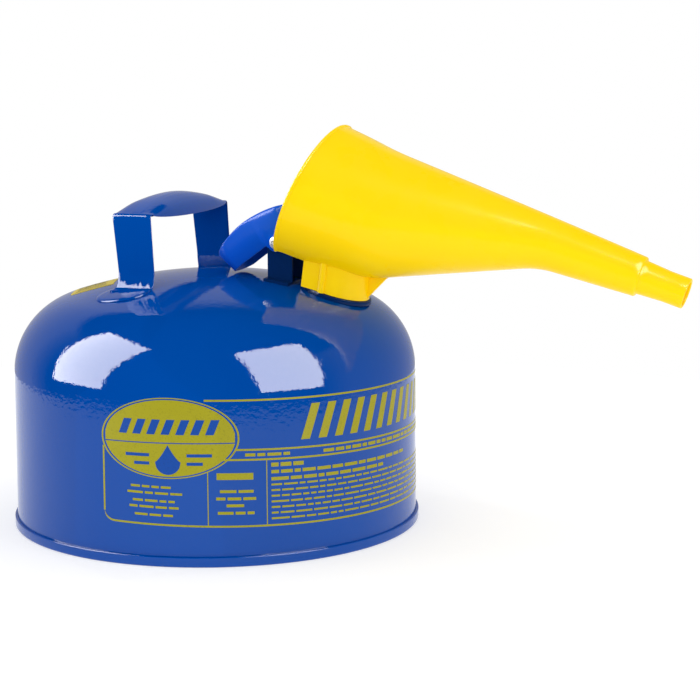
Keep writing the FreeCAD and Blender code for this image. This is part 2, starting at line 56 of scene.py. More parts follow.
# ---- driving dimensions ---------------------------------------------------------------------
MM = 0.001
SHEET = 0.9 * MM                       # body steel
WALL_LOW = 141.0 * MM                  # wall radius at the foot and where the shoulder starts
WALL_TOP = 140.3 * MM
WALL_FOOT = 1.4 * MM
SHOULDER_Z = 107.0 * MM
SHOULDER_R = 55.0 * MM
CROWN_R = 329.0 * MM
BEAD_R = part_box("bottom_chime")[1].x
BEAD_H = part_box("bottom_chime")[1].z
TURN = math.asin((WALL_TOP - SHOULDER_R) / (CROWN_R - SHOULDER_R))
CROWN_CENTRE = SHOULDER_Z - (CROWN_R - SHOULDER_R) * math.cos(TURN)
NECK_LEAN = math.atan2(-JOINTS["funnel_slide"]["axis"][2], JOINTS["funnel_slide"]["axis"][0])
NECK_X = 91.0 * MM
NECK_R = 20.0 * MM


# ---- mesh helpers ---------------------------------------------------------------------------
def add_piece(name, bm, body, material, slot, *replaced):
    """Turns bm into a smooth piece that rides on body and stands for the replaced CAD nodes."""
    mesh = bpy.data.meshes.new(name)
    bmesh.ops.recalc_face_normals(bm, faces=bm.faces)
    bm.to_mesh(mesh)
    bm.free()
    mesh.shade_smooth()
    obj = bpy.data.objects.new(name, mesh)
    bpy.context.scene.collection.objects.link(obj)
    mesh.materials.append(material)
    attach(obj, body)
    if replaced:
        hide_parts(*replaced)
    return obj


def round_edges(obj, width, angle_deg=32, segments=3):
    bevel = obj.modifiers.new("edge_rounding", "BEVEL")
    bevel.limit_method = "ANGLE"
    bevel.angle_limit = math.radians(angle_deg)
    bevel.width = width
    bevel.segments = segments
    bevel.use_clamp_overlap = True
    bevel.harden_normals = True
    return obj


def soften(node, body, material, slot, width):
    """A copy of a CAD node with its facets joined and its edges rounded, shown instead of it."""
    bm = bmesh.new()
    bm.from_mesh(NODES[node].data)
    for layer in list(bm.loops.layers.float_vector):
        bm.loops.layers.float_vector.remove(layer)
    bmesh.ops.remove_doubles(bm, verts=bm.verts, dist=2e-6)
    bmesh.ops.dissolve_limit(bm, angle_limit=math.radians(0.4), verts=bm.verts, edges=bm.edges)
    obj = add_piece(node + "_shaped", bm, body, material, slot, node)
    return round_edges(obj, width)


def lathe(outline, segments, closed=True, place=Matrix.Identity(4)):
    """Revolves an (r, z) outline about Z and puts it in place."""
    bm = bmesh.new()
    rings = []
    for k in range(segments):
        angle = 2 * math.pi * k / segments
        c, s = math.cos(angle), math.sin(angle)
        rings.append([bm.verts.new(place @ Vector((r * c, r * s, z))) for r, z in outline])
    count = len(outline)
    for k in range(segments):
        a, b = rings[k], rings[(k + 1) % segments]
        for i in range(count if closed else count - 1):
            j = (i + 1) % count
            bm.faces.new((a[i], b[i], b[j], a[j]))
    bmesh.ops.remove_doubles(bm, verts=bm.verts, dist=1e-7)
    return bm


def carve(obj, bm):
    """Cuts the solid in bm out of obj, and keeps edges sharper than 35 degrees crisp."""
    mesh = bpy.data.meshes.new("cutter")
    bmesh.ops.recalc_face_normals(bm, faces=bm.faces)
    bm.to_mesh(mesh)
    bm.free()
    cutter = bpy.data.objects.new("cutter", mesh)
    bpy.context.scene.collection.objects.link(cutter)
    cut = obj.modifiers.new("cut", "BOOLEAN")
    cut.operation = "DIFFERENCE"
    cut.solver = "EXACT"
    cut.object = cutter
    bpy.context.view_layer.update()
    with bpy.context.temp_override(object=obj, active_object=obj, selected_objects=[obj]):
        bpy.ops.object.modifier_apply(modifier=cut.name)
    bpy.data.objects.remove(cutter)
    bpy.data.meshes.remove(mesh)
    obj.data.shade_smooth()
    obj.data.set_sharp_from_angle(angle=math.radians(35))


def prism(outline, low, high, place):
    """A straight solid over a closed (x, y) outline, in millimetres, put in place."""
    bm = bmesh.new()
    rings = [[bm.verts.new((place @ Vector((x, y, z))) * MM) for x, y in outline]
             for z in (low, high)]
    for k in range(len(outline)):
        j = (k + 1) % len(outline)
        bm.faces.new((rings[0][k], rings[0][j], rings[1][j], rings[1][k]))
    bm.faces.new(rings[0][::-1])
    bm.faces.new(rings[1])
    return bm


def arc(cx, cz, radius, start_deg, end_deg, steps):
    """Points of an arc; angles from +r towards +z."""
    angles = [math.radians(start_deg + (end_deg - start_deg) * k / steps) for k in range(steps + 1)]
    return [(cx + radius * math.cos(a), cz + radius * math.sin(a)) for a in angles]


def wall_radius(z):
    return WALL_LOW + (WALL_TOP - WALL_LOW) * (z - WALL_FOOT) / (SHOULDER_Z - WALL_FOOT)


def crown_height(x, y):
    return CROWN_CENTRE + math.sqrt(CROWN_R ** 2 - x ** 2 - y ** 2)


# ---- materials ------------------------------------------------------------------------------
def new_material(name, colour, roughness, metallic=0.0):
    material = bpy.data.materials.new(name)
    material.use_nodes = True
    shader = material.node_tree.nodes["Principled BSDF"]
    shader.inputs["Base Color"].default_value = (*colour, 1.0)
    shader.inputs["Roughness"].default_value = roughness
    shader.inputs["Metallic"].default_value = metallic
    return material, material.node_tree, shader


def noise(tree, scale, detail=3.0, stretch=None):
    coords = tree.nodes.new("ShaderNodeTexCoord")
    texture = tree.nodes.new("ShaderNodeTexNoise")
    texture.inputs["Scale"].default_value = scale
    texture.inputs["Detail"].default_value = detail
    source = coords.outputs["Object"]
    if stretch:
        mapping = tree.nodes.new("ShaderNodeMapping")
        mapping.inputs["Scale"].default_value = stretch
        tree.links.new(source, mapping.inputs["Vector"])
        source = mapping.outputs["Vector"]
    tree.links.new(source, texture.inputs["Vector"])
    return texture.outputs["Fac"]


def remap(tree, source, low, high, out_low, out_high):
    node = tree.nodes.new("ShaderNodeMapRange")
    node.inputs["From Min"].default_value = low
    node.inputs["From Max"].default_value = high
    node.inputs["To Min"].default_value = out_low
    node.inputs["To Max"].default_value = out_high
    tree.links.new(source, node.inputs["Value"])
    return node.outputs["Result"]


def blend_colours(tree, fac, first, second):
    ramp = tree.nodes.new("ShaderNodeValToRGB")
    ramp.color_ramp.elements[0].color = (*first, 1.0)
    ramp.color_ramp.elements[1].color = (*second, 1.0)
    tree.links.new(fac, ramp.inputs["Fac"])
    return ramp.outputs["Color"]


def add_bump(tree, shader, height, strength, distance):
    bump = tree.nodes.new("ShaderNodeBump")
    bump.inputs["Strength"].default_value = strength
    bump.inputs["Distance"].default_value = distance
    tree.links.new(height, bump.inputs["Height"])
    tree.links.new(bump.outputs["Normal"], shader.inputs["Normal"])
    return bump


def enamel(name, deep, light, orange_peel=0.3, gloss=1.0, drawn=0.0, blur=0.035):
    """Baked enamel: clear gloss over colour, with faint orange peel and slow shade drift.

    drawn adds the long marks of drawn strip that show through the paint.
    """
    material, tree, shader = new_material(name, deep, 0.32)
    drift = remap(tree, noise(tree, 9.0), 0.3, 0.7, 0.0, 1.0)
    tree.links.new(blend_colours(tree, drift, deep, light), shader.inputs["Base Color"])
    shader.inputs["Coat Weight"].default_value = gloss
    shader.inputs["Coat Roughness"].default_value = blur
    shader.inputs["Coat IOR"].default_value = 1.37
    shader.inputs["Specular IOR Level"].default_value = 0.0
    bump = add_bump(tree, shader, noise(tree, 330.0, 2.0), orange_peel, 0.25 * MM)
    tree.links.new(bump.outputs["Normal"], shader.inputs["Coat Normal"])
    if drawn:
        marks = tree.nodes.new("ShaderNodeBump")
        marks.inputs["Strength"].default_value = drawn
        marks.inputs["Distance"].default_value = 1.0 * MM
        tree.links.new(noise(tree, 260.0, 1.0, (1.0, 0.05, 0.07)), marks.inputs["Height"])
        tree.links.new(marks.outputs["Normal"], bump.inputs["Normal"])
    return material


def polyethylene(name, colour, shade):
    """Moulded polyethylene: soft gloss, a little subsurface scattering plus a faint painted orange glow
    standing in for light under the skin, fine grain and flow marks.
    """
    material, tree, shader = new_material(name, colour, 0.3)
    drift = remap(tree, noise(tree, 14.0), 0.35, 0.7, 0.0, 1.0)
    tree.links.new(blend_colours(tree, drift, colour, shade), shader.inputs["Base Color"])
    tree.links.new(remap(tree, noise(tree, 60.0, 4.0), 0.3, 0.7, 0.24, 0.36),
                   shader.inputs["Roughness"])
    shader.inputs["Specular IOR Level"].default_value = 0.05
    shader.inputs["Coat Weight"].default_value = 0.25
    shader.inputs["Coat Roughness"].default_value = 0.14
    # Painted glow: a faint orange emission that lifts the shaded plastic, standing in for light passing
    # through it.
    shader.inputs["Emission Color"].default_value = (1.0, 0.4, 0.0, 1.0)
    shader.inputs["Emission Strength"].default_value = 0.09
    shader.inputs["Subsurface Weight"].default_value = 0.12
    shader.inputs["Subsurface Radius"].default_value = (6 * MM, 4 * MM, 0.6 * MM)
    shader.inputs["Subsurface Scale"].default_value = 1.0
    add_bump(tree, shader, noise(tree, 900.0, 2.0), 0.06, 0.15 * MM)
    return material


def plated_steel(name, colour, roughness, stretch=(1, 1, 1)):
    material, tree, shader = new_material(name, colour, roughness, metallic=1.0)
    grain = noise(tree, 700.0, 4.0, stretch)
    tree.links.new(remap(tree, grain, 0.3, 0.7, roughness - 0.08, roughness + 0.1), shader.inputs["Roughness"])
    dark = tuple(0.72 * c for c in colour)
    patches = remap(tree, noise(tree, 120.0), 0.4, 0.75, 0.0, 1.0)
    tree.links.new(blend_colours(tree, patches, colour, dark), shader.inputs["Base Color"])
    add_bump(tree, shader, grain, 0.08, 0.05 * MM)
    return material


def rubber(name):
    material, tree, shader = new_material(name, (0.02, 0.02, 0.022), 0.62)
    tree.links.new(remap(tree, noise(tree, 300.0, 4.0), 0.3, 0.7, 0.5, 0.72),
                   shader.inputs["Roughness"])
    add_bump(tree, shader, noise(tree, 1500.0, 3.0), 0.25, 0.08 * MM)
    return material


def ink(name, colour):
    """Screen-printed ink: semi-gloss, with small pinholes of density."""
    material, tree, shader = new_material(name, colour, 0.38)
    thin = tuple(0.72 * c for c in colour)
    density = remap(tree, noise(tree, 900.0, 2.0), 0.55, 0.8, 0.0, 1.0)
    tree.links.new(blend_colours(tree, density, colour, thin), shader.inputs["Base Color"])
    shader.inputs["Specular IOR Level"].default_value = 0.15
    shader.inputs["Coat Weight"].default_value = 0.1
    shader.inputs["Coat Roughness"].default_value = 0.12
    add_bump(tree, shader, noise(tree, 700.0, 2.0), 0.1, 0.05 * MM)
    return material


BLUE = enamel("blue_enamel", (0.0, 0.06, 0.34), (0.0, 0.066, 0.365))
LEVER_BLUE = enamel("lever_enamel", (0.002, 0.11, 0.72), (0.003, 0.12, 0.78), 0.2,
                    gloss=0.6, blur=0.28)
# Painted shade: a darker navy enamel on the hinge bracket and the neck's welded ring stands in for the shadow
# under the funnel; the real paint is the same blue.
PAINTED_SHADE_BLUE = enamel("painted_shade_enamel", (0.002, 0.02, 0.1), (0.003, 0.025, 0.12), 0.2, gloss=0.35)
STRAP_BLUE = enamel("strap_enamel", (0.0, 0.062, 0.35), (0.0, 0.068, 0.375), 0.2, drawn=0.25)
YELLOW = polyethylene("yellow_polyethylene", (1.0, 0.69, 0.0), (1.0, 0.7, 0.0))
ZINC = plated_steel("zinc_plate", (0.62, 0.63, 0.65), 0.3)
SPRING_STEEL = plated_steel("spring_steel", (0.42, 0.42, 0.44), 0.35)
MESH_STEEL = plated_steel("arrester_steel", (0.5, 0.5, 0.51), 0.4)
RUBBER = rubber("nitrile_rubber")
PRINT_INK = ink("olive_ink", (0.36, 0.33, 0.006))
PRINT_BLUE = ink("panel_blue", (0.0, 0.062, 0.35))
PRINT_BLACK = ink("sticker_black", (0.02, 0.02, 0.02))
LABEL_YELLOW = ink("label_yellow", (0.8, 0.62, 0.02))


# ---- body -----------------------------------------------------------------------------------
NECK_ROOT = Vector((NECK_X, 0, crown_height(NECK_X, 0))) / MM
NECK_PLACE = Matrix.Translation(NECK_ROOT) @ Matrix.Rotation(NECK_LEAN, 4, "Y")
NECK_DIR = NECK_PLACE.to_3x3() @ Vector((0, 0, 1))


def body_outline(inset, wall_steps=24, shoulder_steps=40, crown_steps=36):
    """Wall, shoulder and crown from the foot to the crown's centre."""
    wall = [(WALL_LOW + (WALL_TOP - WALL_LOW) * k / wall_steps - inset,
             WALL_FOOT + (SHOULDER_Z - WALL_FOOT) * k / wall_steps) for k in range(wall_steps)]
    turn = math.degrees(TURN)
    shoulder = arc(WALL_TOP - SHOULDER_R, SHOULDER_Z, SHOULDER_R - inset, 0, 90 - turn, shoulder_steps)
    crown = arc(0.0, CROWN_CENTRE, CROWN_R - inset, 90 - turn, 90, crown_steps)
    return wall + shoulder + crown[1:]


def build_body():
    outline = body_outline(0.0) + body_outline(SHEET)[::-1]
    bm = lathe(outline, 256)
    shell = add_piece("tank_shell", bm, "can", BLUE, "blue_enamel", "body_shell")
    circle = [(NECK_R / MM * math.cos(math.pi * k / 48), NECK_R / MM * math.sin(math.pi * k / 48))
              for k in range(96)]
    carve(shell, prism(circle, -30, 30, NECK_PLACE))


def build_bead():
    """Rolled double seam: straight outside with small rounded corners."""
    inner, r, h = WALL_LOW - 3.1 * MM, 0.6 * MM, BEAD_H
    outline = [(inner, 1.2 * MM), (inner + 1.2 * MM, 0.0)]
    outline += arc(BEAD_R - 1.6 * MM, 1.6 * MM, 1.6 * MM, -90, 0, 6)
    outline += arc(BEAD_R - r, h - r, r, 0, 90, 5)
    outline += [(WALL_LOW + 0.1 * MM, h), (WALL_LOW + 0.1 * MM, 1.5 * MM),
                (inner + 1.4 * MM, 1.5 * MM),
                (inner + 1.4 * MM, h), (inner + 0.4 * MM, h), (inner, h - 0.4 * MM)]
    bead = add_piece("seam_bead", lathe(outline, 256), "can", BLUE, "blue_enamel", "bottom_chime")
    bead.data.set_sharp_from_angle(angle=math.radians(50))


# ---- printed panel and sticker --------------------------------------------------------------
PRINT_LIFT = 0.03 * MM
PRINT_T = 0.05 * MM
OVAL_PHI, OVAL_Z = -78.7, 84.0         # centre of the oval on the wall, degrees round from +X and mm up
OVAL_HALF_PHI, OVAL_HALF_Z = 18.6, 26.0
PANEL_END = 58.0                       # the panel's right end, round the far side
LINE = 1.25                            # printed line width, mm


def skin_radius(z):
    if z <= SHOULDER_Z:
        return wall_radius(z)
    return WALL_TOP - SHOULDER_R + math.sqrt(SHOULDER_R ** 2 - (z - SHOULDER_Z) ** 2)


def on_wall(phi_deg, z_mm, lift=PRINT_LIFT):
    phi, z = math.radians(phi_deg), z_mm * MM
    r = skin_radius(z) + lift
    return Vector((r * math.cos(phi), r * math.sin(phi), z))


def add_band(bm, place, u0, u1, low, high, columns, rows=1):
    """A sheet between two curves, low(u) and high(u), laid on a surface by place(u, v)."""
    grid = []
    for i in range(columns + 1):
        u = u0 + (u1 - u0) * i / columns
        grid.append([bm.verts.new(place(u, low(u) + (high(u) - low(u)) * j / rows))
                     for j in range(rows + 1)])
    for i in range(columns):
        for j in range(rows):
            bm.faces.new((grid[i][j], grid[i + 1][j], grid[i + 1][j + 1], grid[i][j + 1]))


def wall_quad(bm, left, right, height, slant=0.0, place=on_wall):
    """A bar on the wall from left to right, both (degrees, mm up), leaning over by slant degrees."""
    columns = max(1, math.ceil(abs(right[0] - left[0]) / 1.5))

    def middle(u):
        return left[1] + (right[1] - left[1]) * (u - left[0]) / (right[0] - left[0])

    def leaning(u, v):
        return place(u + slant * (v - middle(u)) / height, v)

    add_band(bm, leaning, left[0], right[0], lambda u: middle(u) - height / 2,
             lambda u: middle(u) + height / 2, columns, math.ceil(height / 3))


def wall_upright(bm, phi, z_low, z_high, width=LINE):
    half = math.degrees(width * MM / 2 / WALL_TOP)
    add_band(bm, on_wall, phi - half, phi + half, lambda u: z_low, lambda u: z_high, 1)


def oval_edge(scale, sign=1):
    def edge(u):
        x = min(1.0, abs(u - OVAL_PHI) / (OVAL_HALF_PHI * scale))
        return OVAL_Z + sign * OVAL_HALF_Z * scale * math.sqrt(1 - x * x)
    return edge


def add_oval_ring(bm, inner, outer, steps=120):
    rings = []
    for k in range(steps):
        a = 2 * math.pi * k / steps
        rings.append([bm.verts.new(on_wall(OVAL_PHI + OVAL_HALF_PHI * f * math.cos(a),
                                           OVAL_Z + OVAL_HALF_Z * f * math.sin(a))) for f in (inner, outer)])
    for k in range(steps):
        (a, b), (c, d) = rings[k], rings[(k + 1) % steps]
        bm.faces.new((a, b, d, c))


def add_text_row(bm, dice, phi0, phi1, z0, height, tilt=-0.06):
    """A row of plain bars of word length. It says nothing."""
    phi = phi0
    while phi < phi1 - 1.0:
        end = min(phi1, phi + dice.uniform(1.6, 5.0))
        wall_quad(bm, (phi, z0 + tilt * (phi - phi0)), (end, z0 + tilt * (end - phi0)), height)
        phi = end + 0.55


def finish_print(name, bm, material):
    obj = add_piece(name, bm, "can", material, "sticker_vinyl")
    film = obj.modifiers.new("film", "SOLIDIFY")
    film.thickness = PRINT_T
    film.offset = 1.0
    split = obj.modifiers.new("crisp_edge", "EDGE_SPLIT")
    split.split_angle = math.radians(30)
    return obj


OVAL_FIELD = 0.955                     # printed field as a share of the oval
OVAL_WAIST = OVAL_Z - 3.1              # gap between the field's two halves
CORNER_AT, CORNER_RADII = (-93.8, 34.5), (3.2, 6.25)   # frame's rounded corner: degrees, mm
DROP_HALF, DROP_Z = 3.4, 68.6          # pictogram drop: half width in degrees, centre in mm
FRAME_LINES = (((-69.0, 108.6), 104.3), ((-61.2, 76.4), 68.8),
               ((-64.5, 70.1), 62.5), ((-93.8, 28.25), 19.9))
LEFT_ROWS = ((-89.0, -76.5, 52.6), (-90.0, -75.0, 48.6), (-88.5, -77.0, 43.4),
             (-89.5, -76.0, 39.4), (-88.0, -77.5, 34.2))
MIDDLE_ROWS = ((-65.2, -56.2), (-66.2, -55.2), (-63.5, -58.4), (-65.8, -56.2))
HEAD_ROWS = ((-42.5, 2.6), (-2.0, 2.2), (-14.0, 2.2))


def print_oval(bm):
    w = OVAL_HALF_PHI * OVAL_FIELD
    add_band(bm, on_wall, OVAL_PHI - w + 0.15, OVAL_PHI + w - 0.15, lambda u: OVAL_WAIST + 0.35,
             lambda u: max(OVAL_WAIST + 0.4, oval_edge(OVAL_FIELD)(u)), 60, 12)
    add_band(bm, on_wall, OVAL_PHI - w + 0.15, OVAL_PHI + w - 0.15,
             lambda u: min(OVAL_WAIST - 0.4, oval_edge(OVAL_FIELD, -1)(u)),
             lambda u: OVAL_WAIST - 0.35, 60, 8)
    add_oval_ring(bm, 0.985, 1.01)


def corner_point(turn_deg):
    turn = math.radians(turn_deg)
    return (CORNER_AT[0] + CORNER_RADII[0] * math.cos(turn),
            CORNER_AT[1] + CORNER_RADII[1] * math.sin(turn))


def print_frame(bm):
    for start, end_z in FRAME_LINES:
        wall_quad(bm, start, (PANEL_END, end_z), LINE)
    wall_upright(bm, -97.0, 34.5, 77.2)
    wall_upright(bm, -68.3, 27.2, 62.2, 0.6)
    wall_upright(bm, -52.8, 26.4, 69.4, 0.6)
    wall_upright(bm, PANEL_END, 19.5, 104.7)
    for k in range(6):
        wall_quad(bm, corner_point(180 + 15 * k), corner_point(180 + 15 * (k + 1)), LINE)


def print_stripes(bm):
    """The run of slanted stripes that stands where the large word was."""
    for k in range(17):
        phi = -41.6 + 5.2 * k
        drop = 0.045 * (phi + 41.6)
        wall_quad(bm, (phi, 91.9 - drop), (phi + 2.6, 91.8 - drop), 23.0, 3.2)


def print_rows(bm, dice):
    """Rows of plain bars that stand where the small print was."""
    add_text_row(bm, dice, -58.5, -45.5, 72.9, 2.0)
    add_text_row(bm, dice, -36.5, 30.0, 71.4, 2.2)
    for lead, tail, z in LEFT_ROWS:
        add_text_row(bm, dice, lead, tail, z, 1.5)
    wall_quad(bm, (-66.0, 59.4), (-56.4, 58.9), 4.4)
    for k, (lead, tail) in enumerate(MIDDLE_ROWS):
        add_text_row(bm, dice, lead, tail, 49.6 - 4.7 * k, 1.9)
    for k, (end, height) in enumerate(HEAD_ROWS):
        add_text_row(bm, dice, -51.6, end, 65.6 - 4.6 * k, height)
    for k in range(7):
        add_text_row(bm, dice, -51.6, 42.0 - 3.0 * (k % 3), 52.6 - 3.7 * k, 1.25)


def build_knockout():
    """Blue marks over the oval's ink: a row of stripes, a drop and two bars each side."""
    bm = bmesh.new()

    def above(phi, z):
        return on_wall(phi, z, PRINT_LIFT + 2 * PRINT_T)

    for k in range(7):
        phi = -91.4 + 3.9 * k
        wall_quad(bm, (phi, 91.3), (phi + 2.2, 91.2), 9.6, 1.6, above)
    add_band(bm, above, OVAL_PHI - DROP_HALF, OVAL_PHI + DROP_HALF,
             lambda u: DROP_Z - 8.2 * math.sqrt(max(0.0, 1 - ((u - OVAL_PHI) / DROP_HALF) ** 2)),
             lambda u: DROP_Z + 11.0 * max(0.0, 1 - abs(u - OVAL_PHI) / DROP_HALF) ** 1.35, 24)
    for side in (-1, 1):
        for k in range(2):
            lead, tail = sorted((OVAL_PHI + side * 5.0, OVAL_PHI + side * (11.6 - 2.4 * k)))
            wall_quad(bm, (lead, 73.0 - 5.4 * k), (tail, 73.0 - 5.4 * k), 2.0, 0.0, above)
    finish_print("panel_knockout", bm, PRINT_BLUE)


def build_panel():
    """Oval, frame, stripes and rows of bars screen-printed on the wall."""
    bm = bmesh.new()
    print_oval(bm)
    print_frame(bm)
    print_stripes(bm)
    print_rows(bm, random.Random(7))
    finish_print("panel_print", bm, PRINT_INK)
    build_knockout()


STICKER_AT, STICKER_TURN = (-78.5, -30.0), 20.0
STICKER_HALF = (15.0, 17.0)


def on_crown(u, v, lift):
    """A point u, v millimetres from the sticker's centre, on the crown."""
    turn = math.radians(STICKER_TURN)
    x = (STICKER_AT[0] + u * math.cos(turn) - v * math.sin(turn)) * MM
    y = (STICKER_AT[1] + u * math.sin(turn) + v * math.cos(turn)) * MM
    return Vector((x, y, crown_height(x, y) + lift))


def build_sticker():
    half_u, half_v = STICKER_HALF
    corner = 2.5

    def edge(u):
        over = max(0.0, abs(u) - (half_u - corner))
        return half_v - corner + math.sqrt(max(0.0, corner ** 2 - over ** 2))

    bm = bmesh.new()
    add_band(bm, lambda u, v: on_crown(u, v, 0.06 * MM), -half_u, half_u,
             lambda u: -edge(u), edge, 40, 14)
    obj = add_piece("rear_sticker", bm, "can", LABEL_YELLOW, "sticker_vinyl", "inspection_sticker")
    film = obj.modifiers.new("vinyl", "SOLIDIFY")
    film.thickness = 0.18 * MM
    film.offset = 1.0
    split = obj.modifiers.new("crisp_edge", "EDGE_SPLIT")
    split.split_angle = math.radians(30)
    bars = bmesh.new()

    def bar(u0, u1, v, height):
        add_band(bars, lambda a, b: on_crown(a, b, 0.25 * MM), u0, u1, lambda u: v - height / 2,
                 lambda u: v + height / 2, 12)

    bar(-half_u + 1.6, half_u - 1.6, half_v - 2.0, 0.5)
    bar(-half_u + 1.6, half_u - 1.6, -half_v + 2.0, 0.5)
    dice = random.Random(3)
    for k in range(5):
        bar(-12.0, dice.uniform(5.0, 12.0), 10.0 - 5.0 * k, 3.0 if k == 0 else 1.3)
    finish_print("rear_sticker_bars", bars, PRINT_BLACK)


# ---- handle ---------------------------------------------------------------------------------
GRIP_Z = 219.4                         # top of the strap at its corners, mm
HANDLE_T = 1.6
HANDLE_HALF = 63.9
CORNER_R = 3.0
# A gentle bend outwards, then a tight one to the pad.
COVE_R, COVE_TIGHT_R, COVE_TURN_DEG = 20.0, 4.5, 30.0
CORNER_X, FOOT_LEG_X = -32.0, -29.2
CORNER_HALF, FOOT_LEG_HALF = 14.2, 13.3
PAD_X, PAD_OUT, PAD_HALF_X, PAD_HALF_Y = -35.0, 8.0, 19.0, 15.0


def crown_mm(x, y):
    return crown_height(x * MM, y * MM) / MM


def leaf(y):
    """How far the grip has opened into its leaf shape, 0 at the ends and 1 in the middle."""
    return max(0.0, 1 - (abs(y) / 60.5) ** 2) ** 0.6


def grip_ring(y, count):
    """The strap's section over the grip: flat at its ends, rolled down at both edges in between."""
    arch = 1 - (y / (HANDLE_HALF - CORNER_R)) ** 2
    open_ = leaf(y)
    top = GRIP_Z + 10.4 * arch
    low = top - 0.6 - 4.2 * open_ ** 0.8 - 9.9 * arch
    half = CORNER_HALF + 4.8 * open_
    across = 1.0 - 0.38 * min(1.0, 4 * (1 - open_))
    rise = 0.8 + 0.2 * open_
    points = []
    for k in range(count + 1):
        a = math.pi * k / count
        x = -half * math.copysign(abs(math.cos(a)) ** across, math.cos(a))
        points.append((CORNER_X + x, y, low + (top - low) * math.sin(a) ** rise))
    return points


def strap_ring(y, z, x, half, count, nx, nz):
    """The strap's flat section on a leg, with edges turned in a little towards -normal."""
    points = []
    for k in range(count + 1):
        a = math.pi * k / count
        across = -math.copysign(abs(math.cos(a)) ** 0.38, math.cos(a))
        back = 0.9 * (1 - math.sin(a) ** 0.38)
        points.append((x + half * across, y - nx * back, z - nz * back))
    return points


def cove_point(deg):
    """How far out and down the leg has bent when it has turned by deg."""
    first = math.radians(min(deg, COVE_TURN_DEG))
    turned = math.radians(max(deg, COVE_TURN_DEG))
    start = math.radians(COVE_TURN_DEG)
    out = COVE_R * (1 - math.cos(first)) + COVE_TIGHT_R * (math.cos(start) - math.cos(turned))
    down = COVE_R * math.sin(first) + COVE_TIGHT_R * (math.sin(turned) - math.sin(start))
    return out, down


def leg_rings(side, count):
    """From the corner's foot end down to the outer edge of the cove."""
    rings = []
    span, mid_z = HANDLE_HALF - CORNER_R, GRIP_Z - CORNER_R
    for k in range(1, 7):
        a = math.radians(90 - 90 * k / 6)
        rings.append(strap_ring(side * (span + CORNER_R * math.cos(a)), mid_z + CORNER_R * math.sin(a),
                                CORNER_X, CORNER_HALF, count, side * math.cos(a), math.sin(a)))
    reach, depth = cove_point(82)
    low_z = crown_mm(FOOT_LEG_X, HANDLE_HALF + reach) + 1.2 + depth
    for k in range(1, 10):
        f = k / 9
        rings.append(strap_ring(side * HANDLE_HALF, mid_z + (low_z - mid_z) * f,
                                CORNER_X + (FOOT_LEG_X - CORNER_X) * f,
                                CORNER_HALF + (FOOT_LEG_HALF - CORNER_HALF) * f, count, side, 0.0))
    for k in range(1, 17):
        a = math.radians(82 * k / 16)
        out, down = cove_point(82 * k / 16)
        widen = (k / 16) ** 2
        rings.append(strap_ring(side * (HANDLE_HALF + out), low_z - down, FOOT_LEG_X - 2.0 * widen,
                                FOOT_LEG_HALF + 2.0 * widen, count, side * math.cos(a), math.sin(a)))
    return rings


def skin_rings(bm, rings):
    rows = [[bm.verts.new(Vector(p) * MM) for p in ring] for ring in rings]
    for a, b in zip(rows, rows[1:]):
        for k in range(len(a) - 1):
            bm.faces.new((a[k], a[k + 1], b[k + 1], b[k]))


def build_foot(side):
    """Oval welding pad, pressed to the crown, with a rounded rim."""
    bm = bmesh.new()
    centre_y = side * (HANDLE_HALF + PAD_OUT)
    profile = [(0.02, 1.7), (0.5, 1.7), (0.8, 1.68), (0.93, 1.55), (0.985, 1.15), (1.0, 0.6), (1.0, 0.05)]
    rings = []
    for scale, lift in profile:
        ring = []
        for k in range(64):
            a = 2 * math.pi * k / 64
            x = PAD_X + PAD_HALF_X * scale * math.cos(a)
            y = centre_y + PAD_HALF_Y * scale * math.sin(a)
            ring.append(bm.verts.new(Vector((x, y, crown_mm(x, y) + lift)) * MM))
        rings.append(ring)
    for a, b in zip(rings, rings[1:]):
        for k in range(64):
            bm.faces.new((a[k], a[(k + 1) % 64], b[(k + 1) % 64], b[k]))
    bm.faces.new(rings[0])
    bm.faces.new(rings[-1][::-1])
    return bm


def build_handle():
    count = 36
    span = HANDLE_HALF - CORNER_R
    grip = [grip_ring(span * math.sin(math.pi / 2 * k / 28), count) for k in range(-28, 29)]
    right = [r for r in leg_rings(-1, count)]
    left = [r for r in leg_rings(1, count)]
    bm = bmesh.new()
    skin_rings(bm, right[::-1] + grip + left)
    strap = add_piece("handle_strap_bent", bm, "can", STRAP_BLUE, "blue_enamel", "handle_strap")
    sheet = strap.modifiers.new("sheet", "SOLIDIFY")
    sheet.thickness = HANDLE_T * MM
    sheet.offset = -1.0
    round_edges(strap, 0.45 * MM, 50, 2)
    for side, name in ((-1, "right"), (1, "left")):
        add_piece("handle_foot_" + name, build_foot(side), "can", STRAP_BLUE, "blue_enamel")


# ---- funnel ---------------------------------------------------------------------------------
MOUTH = (74.5, 231.8, 50.0, 25.4)      # x, z, radius and downward tilt of each round section
THROAT = (125.0, 217.3, 43.8, 9.3)
BEND = (237.0, 202.7, 17.5, 12.75)
SPOUT_TOP = (300.5, 182.3, 13.4, 18.2)
SPOUT_R0, SPOUT_R1, SPOUT_TAPER = 11.4, 10.2, 18.1
FUNNEL_WALL = 2.3
COLLAR_IN, COLLAR_OUT, COLLAR_REAR = 20.5, 22.7, -18.0
SLOT_HALF, SLOT_MOUTH_HALF = 21.4, 30.0
COLLAR_BALL = CROWN_R / MM + 3.2       # sphere the collar's foot lies on, just clear of the welded ring


def round_section(section, forward=0.0, swell=0.0, count=120):
    """Points of a round section, moved forward along its own axis and grown in radius."""
    x, z, radius, tilt = section
    t, r = math.radians(tilt), radius + swell
    ahead, up = Vector((math.cos(t), 0, -math.sin(t))), Vector((math.sin(t), 0, math.cos(t)))
    centre = Vector((x, 0, z)) + ahead * forward
    angles = [2 * math.pi * k / count for k in range(count)]
    return [centre + up * (r * math.cos(a)) + Vector((0, r * math.sin(a), 0)) for a in angles]


